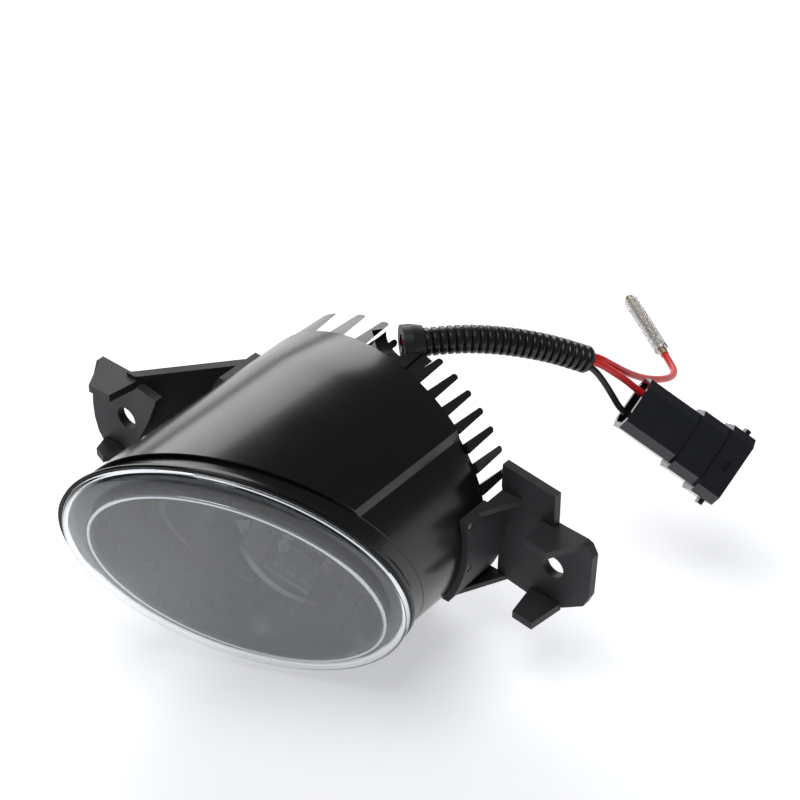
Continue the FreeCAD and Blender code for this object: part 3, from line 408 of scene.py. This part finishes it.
def front_casing(materials):
    """Gloss black barrel: flange, neck, raised panel with its ridge, and rear rim."""
    ridge = math.acos(RIDGE_X / PANEL_R)
    foot = math.acos(BEVEL_X / BARREL_R)
    edges = [sign * (angle + step) for sign in (1, -1) for angle, step in
             ((ridge, 0), (ridge, 0.006), (ridge, -0.004), (foot, 0), (foot, -0.006), (foot, 0.004))]
    angles = circle_angles(BARREL_POINTS, edges)
    rings = [barrel_ring(angles, radius, forward) for radius, forward in FLANGE_RINGS]
    rings += [barrel_ring(angles, lambda angle: panel_radius(angle, inset), forward)
              for inset, forward in PANEL_FRONT]
    front = rings[-1]
    rear = barrel_ring(angles, panel_radius, y=PANEL_END_Y)
    rings += [[a.lerp(b, share) for a, b in zip(front, rear)] for share in PANEL_SHARES]
    rings.append(rear)
    rings += [barrel_ring(angles, lambda angle: panel_radius(angle, inset), y=y)
              for inset, y in PANEL_REAR]
    rings.append(barrel_ring(angles, BORE_R, y=REAR_Y))
    casing = from_bmesh("front_casing_skin", loft(rings))
    smooth(casing, 28)
    piece(casing, LAMP, "casing", materials, "front_casing")


def oval(long_axis, short_axis, forward, shift=0.0):
    """An oval parallel to the lens, shifted along its long axis."""
    return [LENS @ (Vector((shift + long_axis * math.cos(turn), -forward,
                            short_axis * math.sin(turn))) * MM)
            for turn in circle_turns(OVAL_POINTS)]


def window(forward, long_axis, short_axis):
    """Rings from the middle of the window to its edge."""
    return [oval(long_axis * share, short_axis * share,
                 forward + WINDOW_DOME * (1 - share * share), WINDOW_SHIFT)
            for share in WINDOW_SHARES]


def outer_lens(materials):
    """Clear cup: slightly domed window, rounded shoulder, skirt and foot, with a wall."""
    outer = window(*WINDOW_OUTSIDE) + [oval(*section) for section in GLASS_OUTSIDE]
    inner = [oval(*section) for section in GLASS_INSIDE] + window(*WINDOW_INSIDE)[::-1]
    bm = loft(outer + inner, closed=False)
    corners = list(bm.verts)
    bm.faces.new(corners[:OVAL_POINTS][::-1])
    bm.faces.new(corners[-OVAL_POINTS:])
    bmesh.ops.recalc_face_normals(bm, faces=bm.faces)
    glass = from_bmesh("outer_lens_glass", bm)
    smooth(glass, 50)
    piece(glass, LAMP, "glass", materials, "outer_lens")


def inner_bezel(materials):
    """Dark funnel behind the window with a bright rolled front edge."""
    funnel = from_bmesh("inner_bezel_funnel", loft([oval(*one) for one in BEZEL_FUNNEL]))
    smooth(funnel, 40)
    piece(funnel, LAMP, "bezel", materials, "inner_bezel")
    lip = from_bmesh("inner_bezel_lip", loft([oval(*one) for one in BEZEL_LIP]))
    smooth(lip, 40)
    piece(lip, LAMP, "casing", materials)
    trim = from_bmesh("inner_bezel_trim", loft([
        oval(TRIM_LONG + TRIM_RADIUS * math.cos(turn), TRIM_SHORT + TRIM_RADIUS * math.cos(turn),
             TRIM_FORWARD + TRIM_RADIUS * math.sin(turn), WINDOW_SHIFT)
        for turn in circle_turns(TRIM_SIDES)]))
    smooth(trim, 60)
    piece(trim, LAMP, "reflector", materials, look="trim")


# --- harness --------------------------------------------------------------------------------

CONDUIT_ROUTE = [(9.0, 28.8, 42.7), (14.4, 35.5, 42.6), (19.7, 42.1, 41.4), (25.2, 49.2, 39.1),
                 (30.9, 56.1, 36.1), (36.2, 62.2, 32.7), (40.4, 67.8, 28.8)]
BLACK_FAN = [(42.4, 70.0, 24.1), (44.7, 71.6, 19.9), (46.9, 72.6, 16.0)]
RED_FAN = [(43.8, 70.6, 27.1), (46.3, 73.6, 23.6), (48.3, 76.6, 20.3)]
BULLET_FAN = [(41.8, 71.8, 28.0), (43.7, 76.4, 23.5), (45.4, 82.4, 17.8), (46.4, 89.6, 12.0),
              (47.0, 97.4, 7.0), (46.8, 105.2, 2.8), (44.6, 111.8, -0.1)]
BLACK_OFFSET = Vector((-0.2, -0.3, -1.45))
RED_OFFSET = Vector((1.1, -0.7, 0.7))
BULLET_OFFSET = Vector((-0.9, 0.95, 0.75))
PLUG_FACE = Vector((52.1, 76.0, 13.7))
PLUG_AXIS = Vector((0.774, 0.3435, -0.5316)).normalized()
PLUG_WIDTH = Vector((0.0925, 0.7747, 0.6244)).normalized()
SEAL_DEPTH = 4.4
LEAD_IN = 5.6
PIN_PITCH = 4.0
BULLET_END = Vector((36.7, 117.9, -0.4))
BULLET_AXIS = Vector((-0.849, 0.524, 0.071)).normalized()
BULLET_LEAD = 5.0
GLAND_LENGTH = 6.0
BLACK_RADIUS = 1.0
RED_RADIUS = 1.1


def route_curve(name, points, radius=0.0):
    """A smooth open spline with the route's points as its control points, round with a radius."""
    data = bpy.data.curves.new(name, "CURVE")
    data.dimensions = "3D"
    data.resolution_u = 24
    spline = data.splines.new("NURBS")
    spline.points.add(len(points) - 1)
    for knot, point in zip(spline.points, points):
        knot.co = (*(Vector(point) * MM), 1)
    spline.order_u = 3
    spline.use_endpoint_u = True
    if radius:
        data.bevel_depth = radius * MM
        data.bevel_resolution = 8
        data.use_fill_caps = True
    item = bpy.data.objects.new(name, data)
    bpy.context.scene.collection.objects.link(item)
    return item


def followed(points):
    """Points read from the route's spline."""
    guide = route_curve("guide", points)
    mesh = bpy.data.meshes.new_from_object(guide)
    path = [vertex.co.copy() for vertex in mesh.vertices]
    bpy.data.meshes.remove(mesh)
    bpy.data.objects.remove(guide)
    return path


def spaced(path, step):
    """Points a fixed distance apart along a path, with the direction at each."""
    lengths = [0.0]
    for here, there in zip(path, path[1:]):
        lengths.append(lengths[-1] + (there - here).length)
    count = int(round(lengths[-1] / step))
    places = np.linspace(0, lengths[-1], count + 1)
    columns = [np.interp(places, lengths, [point[axis] for point in path]) for axis in range(3)]
    points = [Vector(values) for values in zip(*columns)]
    aims = [(points[min(index + 1, count)] - points[max(index - 1, 0)]).normalized()
            for index in range(count + 1)]
    return list(places), points, aims


def around_path(point, aim, radius):
    """A ring of points square to a path."""
    side = aim.cross(Vector((0, 0, 1))).normalized()
    lift = side.cross(aim)
    return [point + (side * math.cos(turn) + lift * math.sin(turn)) * radius
            for turn in circle_turns(CONDUIT_SIDES)]


RIB_PITCH = 2.28 * MM
RIB_STEPS = 12
CONDUIT_SIDES = 40
RIB_SWELL = 1.35
RIB_POWER = 0.8
CREST = 4.2 * MM
VALLEY = 3.45 * MM
CONDUIT_BORE = 3.1 * MM


def rib_radius(distance):
    """Rounded crest and narrower valley of the corrugation."""
    phase = (distance / RIB_PITCH) % 1.0
    swell = min(1.0, RIB_SWELL * math.sin(math.pi * phase) ** RIB_POWER if phase > 0 else 0.0)
    return VALLEY + (CREST - VALLEY) * swell


def conduit(materials):
    """Corrugated conduit along its route, hollow, cut square at its end."""
    path = followed(CONDUIT_ROUTE)
    places, points, aims = spaced(path, RIB_PITCH / RIB_STEPS)
    rings = [around_path(point, aim, rib_radius(place))
             for place, point, aim in zip(places, points, aims)]
    rings += [around_path(point, aim, CONDUIT_BORE)
              for point, aim in zip(points[::-RIB_STEPS], aims[::-RIB_STEPS])]
    item = from_bmesh("conduit_corrugated", loft(rings))
    smooth(item, 60)
    piece(item, LAMP, "conduit", materials, "conduit")


def wire_route(offset, fan, ends):
    """From the gland through the conduit, then along the fan to the connector."""
    route = [Vector(point) for point in CONDUIT_ROUTE]
    start = route[0] - (route[1] - route[0]).normalized() * GLAND_LENGTH
    inside = [start] + route[1:]
    return [point + offset for point in inside] + [Vector(point) for point in fan] + ends


def plug_ends(side):
    """The last two points of a wire that goes into the plug."""
    seal = PLUG_FACE + PLUG_AXIS * SEAL_DEPTH + PLUG_WIDTH * side * PIN_PITCH
    return [seal - PLUG_AXIS * LEAD_IN, seal]


def wire(name, slot, points, radius, materials, node):
    """One round wire along its points, put on the lamp with its finish in place of its node."""
    item = route_curve(name, points, radius)
    piece(item, LAMP, slot, materials, node)


def wires(materials):
    """Three wires: a pair to the plug and one to the bullet connector."""
    black = wire_route(BLACK_OFFSET, BLACK_FAN, plug_ends(-1))
    red = wire_route(RED_OFFSET, RED_FAN, plug_ends(1))
    bullet = wire_route(BULLET_OFFSET, BULLET_FAN,
                        [BULLET_END - BULLET_AXIS * BULLET_LEAD, BULLET_END])
    wire("black_wire_insulation", "black_wire", black, BLACK_RADIUS, materials,
         "black_wire")
    wire("red_wire_insulation", "red_wire", red, RED_RADIUS, materials,
         "red_wire")
    wire("bullet_wire_insulation", "red_wire", bullet, RED_RADIUS, materials,
         "bullet_wire")


# --- the run -----------------------------------------------------------------------------

def cad_nodes(materials):
    """Every CAD node takes the material of its slot."""
    for entry in frame["record"]["subparts"]:
        finish_with(frame["nodes"][entry["node"]], materials[entry["material_slot"]])


camera()
studio()
MATERIALS = palette()
cad_nodes(MATERIALS)
front_casing(MATERIALS)
outer_lens(MATERIALS)
inner_bezel(MATERIALS)
conduit(MATERIALS)
wires(MATERIALS)
